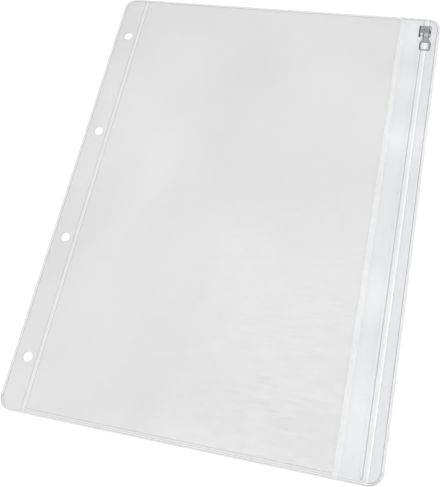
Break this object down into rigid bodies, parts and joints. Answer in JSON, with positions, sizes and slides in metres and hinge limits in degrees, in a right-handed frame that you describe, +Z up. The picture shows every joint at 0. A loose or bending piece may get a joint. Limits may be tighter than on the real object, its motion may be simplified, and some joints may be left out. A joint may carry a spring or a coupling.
{
  "type": "sheet protector",
  "caption": "Clear film binder pocket with a punched margin, welded edges and a slide zip beside one long edge, closed by a small metal slider with a framed pull.",
  "frame": {"origin": "on the surface that the pocket lies on, under the middle of the sheet", "axes": "+X across the pocket from the punched margin to the zip, +Y along the margin towards the closed slider, +Z up out of the front"},
  "size_m": [0.23, 0.306, 0.0063],
  "materials": {
    "clear_film": "calendered clear soft PVC, fine matt grain",
    "weld": "fused clear soft PVC",
    "zip_tape": "extruded clear PVC, glossy",
    "slider_metal": "nickel plated zinc, polished"
  },
  "bodies": {
    "pocket": {"back_film": "clear_film", "front_film": "clear_film", "rim_weld_spine": "weld", "rim_weld_zip": "weld", "rim_weld_top": "weld", "rim_weld_bottom": "weld", "rim_weld_corners": "weld", "margin_weld": "weld", "zip_inner_strip": "zip_tape", "zip_outer_strip": "zip_tape"},
    "slider": {"slider_body": "slider_metal", "slider_bail": "slider_metal"},
    "pull": {"pull_tab": "slider_metal"}
  },
  "joints": [
    {"name": "slider_travel", "type": "slide", "parent": "pocket", "child": "slider", "axis": [0, -1, 0], "range_m": [0, 0.2823]},
    {"name": "pull_swing", "type": "hinge", "parent": "slider", "child": "pull", "pos_m": [0.10635, 0.14125, 0.0048], "axis": [-1, 0, 0], "range_deg": [0, 188.5]}
  ]
}
